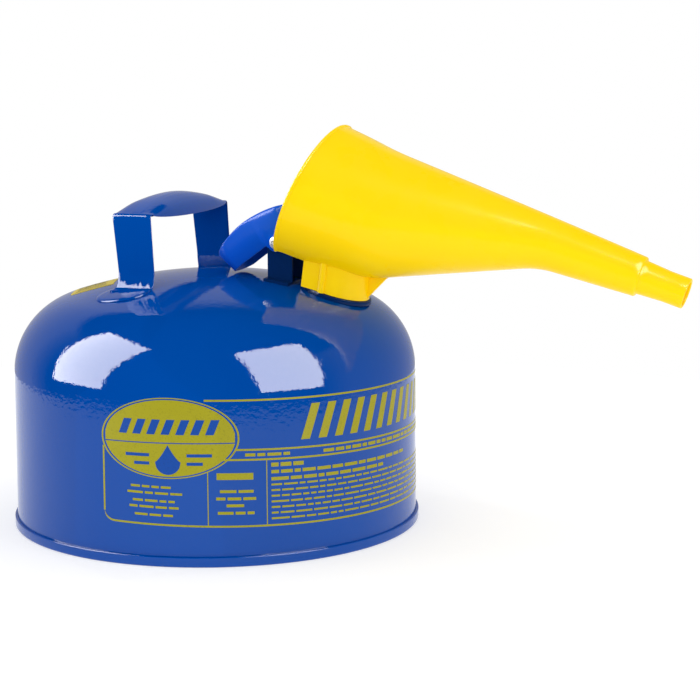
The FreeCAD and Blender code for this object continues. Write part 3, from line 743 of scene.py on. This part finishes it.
def section_at(sections, s):
    """Section at fraction s of a run that is straight between the given sections."""
    spans = [math.dist(a[:2], b[:2]) for a, b in zip(sections, sections[1:])]
    left = s * sum(spans)
    for a, b, span in zip(sections, sections[1:], spans):
        if left <= span:
            break
        left -= span
    f = min(1.0, left / span)
    return tuple(p + (q - p) * f for p, q in zip(a, b))


def eased_section(sections, s, window=0.04):
    """The same run with its corners eased."""
    w = min(window, s, 1 - s)
    picks = [section_at(sections, s + w * k / 3) for k in range(-3, 4)]
    return tuple(sum(values) / len(picks) for values in zip(*picks))


def funnel_rings():
    """Rings over the outside from the mouth's lip to the tip, and back along the inside."""
    barrel = (MOUTH, THROAT, BEND, SPOUT_TOP)
    lip = [(1.6, -2.3), (0.7, -2.1), (0.2, -1.6), (0.0, -0.9), (0.0, 0.2), (0.25, 0.75), (0.8, 1.05),
           (1.4, 1.05), (1.9, 0.7), (2.2, 0.1)]
    rings = [round_section(MOUTH, f, g) for f, g in lip]
    rings += [round_section(eased_section(barrel, 0.02 + 0.98 * k / 60)) for k in range(61)]
    spout = [(0.5, 13.1), (0.9, 12.5), (1.1, 11.6), (1.5, 11.32)]
    spout += [(f, SPOUT_R0 + (SPOUT_R1 - SPOUT_R0) * min(1.0, f / SPOUT_TAPER))
              for f in (5, 10, 15, 18.1, 24, 31)]
    spout += [(31.7, 10.1), (32.1, 9.6), (32.1, 8.5), (31.8, 8.0),
              (31.0, 7.9), (18.1, 7.9), (1.5, 9.0), (0.6, 10.2)]
    rings += [round_section(SPOUT_TOP, f, r - SPOUT_TOP[2]) for f, r in spout]
    rings += [round_section(eased_section(barrel, 0.02 + 0.98 * k / 60), 0.0, -FUNNEL_WALL)
              for k in range(60, -1, -1)]
    return rings


def collar_level(x, y):
    """Height along the neck at which the collar ends, just clear of the welded ring."""
    start = NECK_PLACE @ Vector((x, y, 0)) - Vector((0, 0, CROWN_CENTRE / MM))
    b = start.dot(NECK_DIR)
    return -b + math.sqrt(b * b - start.length_squared + COLLAR_BALL ** 2)


def standing_wall(bm, pairs, low, high):
    """A wall between paired plan points, from low(x, y) up to high(x, y) along the neck."""
    columns = []
    for pair in pairs:
        columns.append([bm.verts.new((NECK_PLACE @ Vector((x, y, level(x, y)))) * MM)
                        for x, y in pair for level in (low, high)])
    for a, b in zip(columns, columns[1:]):
        for i, j in ((0, 1), (1, 3), (3, 2), (2, 0)):
            bm.faces.new((a[i], a[j], b[j], b[i]))
    for a in (columns[0], columns[-1]):
        bm.faces.new((a[0], a[1], a[3], a[2]))


def slot_outline(half, rear_half):
    front = [(half * math.cos(math.radians(a)), half * math.sin(math.radians(a)))
             for a in range(-90, 91, 5)]
    return front + [(COLLAR_REAR, half), (-40, rear_half), (-90, rear_half), (-90, -rear_half),
                    (-40, -rear_half), (COLLAR_REAR, -half)]


def build_funnel():
    bm = bmesh.new()
    rings = [[bm.verts.new(p * MM) for p in ring] for ring in funnel_rings()]
    for a, b in zip(rings, rings[1:] + rings[:1]):
        for k in range(len(a)):
            j = (k + 1) % len(a)
            bm.faces.new((a[k], a[j], b[j], b[k]))
    skin = BVHTree.FromBMesh(bm)

    def under_shell(x, y):
        start = NECK_PLACE @ Vector((x, y, 8.0)) * MM
        hit = skin.ray_cast(start, NECK_DIR)
        return 8.0 + (hit[3] / MM if hit[0] else 20.0) + 1.1

    shell = add_piece("funnel_shell", bm, "funnel", YELLOW, "yellow_plastic", "funnel")
    carve(shell, prism(slot_outline(SLOT_HALF, SLOT_MOUTH_HALF), 16, 45, NECK_PLACE))
    carve(shell, prism(slot_outline(COLLAR_IN, COLLAR_IN), -9, 45, NECK_PLACE))
    bm = bmesh.new()
    turns = [math.radians(a) for a in range(-90, 91, 5)]
    for inner, low, high in ((COLLAR_IN, collar_level, lambda x, y: 16.0),
                             (SLOT_HALF, lambda x, y: 15.9, under_shell)):
        arms = [((x, -COLLAR_OUT), (x, -inner)) for x in (COLLAR_REAR, -14, -10, -6, -3)]
        saddle = arms + [((COLLAR_OUT * math.cos(a), COLLAR_OUT * math.sin(a)),
                          (inner * math.cos(a), inner * math.sin(a))) for a in turns]
        saddle += [tuple((x, -y) for x, y in pair) for pair in arms[::-1]]
        standing_wall(bm, saddle, low, high)
    for side in (-1, 1):
        rib = [((-3.4 + 2.4 * math.cos(a), side * (COLLAR_OUT + 0.4 + 1.9 * math.sin(a))),
                (-3.4 + 2.4 * math.cos(a), side * (COLLAR_OUT - 0.5)))
               for a in (math.radians(22.5 * k) for k in range(9))]
        standing_wall(bm, rib, collar_level, under_shell)
    web = [((COLLAR_OUT - 0.5 + 1.7 * k, 1.3), (COLLAR_OUT - 0.5 + 1.7 * k, -1.3))
           for k in range(16)]

    def web_low(x, y):
        return max(collar_level(x, y),
                   min(2.0 + (x - COLLAR_OUT - 1.0) * 30 / 23, under_shell(x, y) - 1.2))

    standing_wall(bm, web, web_low, under_shell)
    collar = add_piece("funnel_collar", bm, "funnel", YELLOW, "yellow_plastic")
    collar.data.set_sharp_from_angle(angle=math.radians(35))


# ---- lever ----------------------------------------------------------------------------------
PIVOT = Vector((53.0, 0.0, 198.0))
OPEN_DEG = 38.0
LEVER_TURN = Matrix.Rotation(NECK_LEAN - math.radians(OPEN_DEG), 4, "Y")
LEVER_PLACE = Matrix.Translation(PIVOT) @ LEVER_TURN
LEVER_T = 1.2
TAIL_X, TAIL_HALF, TAIL_CORNER, TAIL_RAKE = -46.2, 15.5, 12.0, 5.2
WAIST_HALF, WAIST_X = 10.6, 15.5
PAD_X_AHEAD, LEVER_PAD_R = 42.26, 14.0
PAD_LEVEL = 6.06                       # top of the pad, above the pivot


def between(points, x):
    """Height at x of a line through (x, z) points."""
    for (x0, z0), (x1, z1) in zip(points, points[1:]):
        if x <= x1 or (x1, z1) == points[-1]:
            return z0 + (z1 - z0) * max(0.0, min(1.0, (x - x0) / (x1 - x0)))


def lever_top(x):
    """Arched back, then a slope down to the pad."""
    a, b, c = (TAIL_X, 13.6), (-26.0, 21.8), (16.0, 20.4)
    if x <= c[0]:
        return (a[1] * (x - b[0]) * (x - c[0]) / ((a[0] - b[0]) * (a[0] - c[0]))
                + b[1] * (x - a[0]) * (x - c[0]) / ((b[0] - a[0]) * (b[0] - c[0]))
                + c[1] * (x - a[0]) * (x - b[0]) / ((c[0] - a[0]) * (c[0] - b[0])))
    return between([c, (23.0, 16.5), (28.0, PAD_LEVEL), (60.0, PAD_LEVEL)], x)


def lever_low(x):
    flange = [(TAIL_X, -1.4), (-38, -1.4), (-7.5, 1.6), (-5, -5.5), (9, -5.5), (20.5, 4.0),
              (27, PAD_LEVEL - LEVER_T), (60, PAD_LEVEL - LEVER_T)]
    return between(flange, x)


def lever_half_outline():
    """Left half of the plan, from the middle of the tail's end to the front of the pad."""
    points = [(TAIL_X, 0.0)]
    points += [(TAIL_X + TAIL_CORNER - TAIL_CORNER * math.cos(math.radians(a)),
                TAIL_HALF - TAIL_CORNER + TAIL_CORNER * math.sin(math.radians(a))) for a in range(0, 91, 9)]
    points += [(TAIL_X + TAIL_CORNER + k * 2.2, TAIL_HALF) for k in range(1, 20)]
    points += [(10.5, TAIL_HALF), (11.5, 14.9), (14.5, 11.2), (WAIST_X, WAIST_HALF)]
    reach = math.sqrt(LEVER_PAD_R ** 2 - WAIST_HALF ** 2)
    points += [(x, WAIST_HALF) for x in (18, 20.5, 23, 25.5, 28, PAD_X_AHEAD - reach)]
    start = math.degrees(math.atan2(WAIST_HALF, -reach))
    for k in range(1, 17):
        a = math.radians(start * (1 - k / 16))
        points.append((PAD_X_AHEAD + LEVER_PAD_R * math.cos(a), LEVER_PAD_R * math.sin(a)))
    return points


def offset_points(points, distance):
    """Closed outline moved inwards by distance(x)."""
    moved = []
    for k, (x, y) in enumerate(points):
        (x0, y0), (x1, y1) = points[k - 1], points[(k + 1) % len(points)]
        length = math.hypot(x1 - x0, y1 - y0)
        d = distance(x)
        moved.append((x + (y1 - y0) / length * d, y - (x1 - x0) / length * d))
    return moved


def build_lever():
    """Pressed lever: one skin with rounded shoulders, given the sheet's thickness."""
    half = lever_half_outline()
    outline = half + [(x, -y) for x, y in half[-2:0:-1]]

    def shoulder(x):
        return between([(TAIL_X, 1.2), (-16, 1.4), (-4, 4.2), (8, 4.0),
                        (15, 1.2), (24, 0.5), (60, 0.45)], x)

    def place(x, y, x0, z):
        rear = max(0.0, min(1.0, (-30 - x0) / 16.2))
        shift = TAIL_RAKE * max(0.0, 13.6 - z) / 15.0 * rear
        return LEVER_PLACE @ Vector((x + shift, y, z)) * MM

    bm = bmesh.new()
    rings = [[bm.verts.new(place(x, y, x, lever_low(x))) for x, y in outline]]
    for j in range(7):
        a = math.radians(90 * j / 6)
        shifted = offset_points(outline, lambda x: shoulder(x) * (1 - math.cos(a)))
        rings.append([bm.verts.new(place(x, y, x0, max(
            lever_low(x0) + 0.05, lever_top(x) - shoulder(x0) * (1 - math.sin(a)))))
                      for (x, y), (x0, _) in zip(shifted, outline)])
    count = len(outline)
    for a, b in zip(rings, rings[1:]):
        for k in range(count):
            j = (k + 1) % count
            bm.faces.new((a[k], a[j], b[j], b[k]))
    cap = rings[-1]
    last = len(half) - 1
    bm.faces.new((cap[0], cap[1], cap[count - 1]))
    for k in range(1, last - 1):
        bm.faces.new((cap[k], cap[k + 1], cap[count - k - 1], cap[count - k]))
    bm.faces.new((cap[last - 1], cap[last], cap[last + 1]))
    lever = add_piece("cap_lever_pressed", bm, "lever", LEVER_BLUE, "lever_enamel", "cap_lever")
    lever.data.set_sharp_from_angle(angle=math.radians(60))
    sheet = lever.modifiers.new("sheet", "SOLIDIFY")
    sheet.thickness = LEVER_T * MM
    sheet.offset = -1.0


build_panel()
build_sticker()
build_handle()
build_body()
build_bead()
build_funnel()
build_lever()
for node, material, slot, width in (
        ("bottom_pan", BLUE, "blue_enamel", 0.3 * MM),
        ("neck_tube", BLUE, "blue_enamel", 0.4 * MM),
        ("neck_base_ring", PAINTED_SHADE_BLUE, "blue_enamel", 0.4 * MM),
        ("hinge_bracket", PAINTED_SHADE_BLUE, "blue_enamel", 0.5 * MM),
        ("hinge_pin", ZINC, "zinc_plate", 0.4 * MM),
        ("hinge_pin_clip", SPRING_STEEL, "spring_steel", 0.15 * MM),
        ("spring_sleeve", ZINC, "zinc_plate", 0.2 * MM),
        ("arrester_screen", MESH_STEEL, "arrester_steel", 0.1 * MM),
        ("arrester_flange", MESH_STEEL, "arrester_steel", 0.15 * MM),
        ("arrester_end_cap", MESH_STEEL, "arrester_steel", 0.3 * MM),
        ("arrester_snap_ring", SPRING_STEEL, "spring_steel", 0.05 * MM)):
    soften(node, "can", material, slot, width)
for node, material, slot, width in (
        ("closing_spring", SPRING_STEEL, "spring_steel", 0.05 * MM),
        ("cap_disc", ZINC, "zinc_plate", 0.35 * MM),
        ("cap_gasket", RUBBER, "black_rubber", 0.2 * MM),
        ("gasket_retainer", ZINC, "zinc_plate", 0.25 * MM),
        ("cap_rivet", ZINC, "zinc_plate", 0.3 * MM)):
    soften(node, "lever", material, slot, width)


# ---- studio ---------------------------------------------------------------------------------
CAMERA_AT = Vector((0.5495, -1.2134, 0.3305))
CAMERA_HEADING_DEG = 20.3              # left of +Y
CAMERA_PITCH_DEG = 9.07                # down
CAMERA_ROLL_DEG = 0.22
CAMERA_LENS = 98.2
SOFTBOX_WIDTH, SOFTBOX_TALL = 0.95, 1.45
SOFTBOX_AWAY, SOFTBOX_HEIGHT = 1.2, 0.80
SOFTBOX_AIM = 0.25
BACKDROP_LIGHT = 0.5


def add_camera():
    heading, pitch, roll = (
        math.radians(a) for a in (CAMERA_HEADING_DEG, CAMERA_PITCH_DEG, CAMERA_ROLL_DEG))
    turn = Matrix.Rotation(heading, 4, "Z") @ Matrix.Rotation(math.radians(90) - pitch, 4, "X")
    data = bpy.data.cameras.new("camera")
    data.lens = CAMERA_LENS
    data.sensor_width = 36.0
    camera = bpy.data.objects.new("camera", data)
    bpy.context.scene.collection.objects.link(camera)
    camera.matrix_world = Matrix.Translation(CAMERA_AT) @ turn @ Matrix.Rotation(-roll, 4, "Z")
    bpy.context.scene.camera = camera


def add_softbox(name, azimuth_deg, radiance, glossy):
    """A tall softbox beside the camera, either only reflected or only lighting surfaces."""
    data = bpy.data.lights.new(name, "AREA")
    data.shape = "RECTANGLE"
    data.size, data.size_y = SOFTBOX_WIDTH, SOFTBOX_TALL
    data.energy = radiance * math.pi * SOFTBOX_WIDTH * SOFTBOX_TALL
    light = bpy.data.objects.new(name, data)
    bpy.context.scene.collection.objects.link(light)
    azimuth = math.radians(azimuth_deg)
    light.location = (SOFTBOX_AWAY * math.cos(azimuth), SOFTBOX_AWAY * math.sin(azimuth),
                      SOFTBOX_HEIGHT)
    aim = Vector((0, 0, SOFTBOX_AIM)) - light.location
    light.rotation_mode = "QUATERNION"
    light.rotation_quaternion = aim.to_track_quat("-Z", "Y")
    light.visible_diffuse = not glossy
    light.visible_glossy = glossy
    light.visible_camera = False


def add_floor():
    bm = bmesh.new()
    bmesh.ops.create_circle(bm, cap_ends=True, segments=128, radius=0.69)
    mesh = bpy.data.meshes.new("studio_floor")
    bm.to_mesh(mesh)
    bm.free()
    floor = bpy.data.objects.new("studio_floor", mesh)
    bpy.context.scene.collection.objects.link(floor)
    material, _, shader = new_material("studio_paper", (0.62, 0.62, 0.62), 0.9)
    shader.inputs["Specular IOR Level"].default_value = 0.0
    shader.inputs["Emission Color"].default_value = (1, 1, 1, 1)
    shader.inputs["Emission Strength"].default_value = 0.46
    mesh.materials.append(material)


def maths(tree, operation, first, second):
    node = tree.nodes.new("ShaderNodeMath")
    node.operation = operation
    tree.links.new(first, node.inputs[0])
    tree.links.new(second, node.inputs[1])
    return node.outputs["Value"]


def add_world():
    """Even white light; gloss sees a pale backdrop low behind the can and a dim room elsewhere."""
    world = bpy.data.worlds.new("studio")
    bpy.context.scene.world = world
    world.use_nodes = True
    tree = world.node_tree
    tree.nodes.clear()
    out = tree.nodes.new("ShaderNodeOutputWorld")
    mix = tree.nodes.new("ShaderNodeMixShader")
    even, room = (tree.nodes.new("ShaderNodeBackground") for _ in range(2))
    even.inputs["Color"].default_value = (1, 1, 1, 1)
    room.inputs["Color"].default_value = (1, 0.98, 1, 1)
    path = tree.nodes.new("ShaderNodeLightPath")
    coords = tree.nodes.new("ShaderNodeTexCoord")
    axes = tree.nodes.new("ShaderNodeSeparateXYZ")
    tree.links.new(coords.outputs["Generated"], axes.inputs["Vector"])
    behind = remap(tree, axes.outputs["Y"], -0.1, 0.25, 0.0, BACKDROP_LIGHT)
    below_top = remap(tree, axes.outputs["Z"], 0.66, 0.6, 0.0, 1.0)
    tree.links.new(maths(tree, "MULTIPLY", behind, below_top), room.inputs["Strength"])
    tree.links.new(path.outputs["Is Glossy Ray"], mix.inputs["Fac"])
    tree.links.new(even.outputs["Background"], mix.inputs[1])
    tree.links.new(room.outputs["Background"], mix.inputs[2])
    tree.links.new(mix.outputs["Shader"], out.inputs["Surface"])


add_camera()
add_floor()
add_world()
for side, azimuth in (("left", -147), ("right", -25)):
    add_softbox("softbox_" + side, azimuth, 18.5, True)
    add_softbox("fill_" + side, azimuth, 0.9, False)
bpy.context.scene.view_settings.view_transform = "Standard"
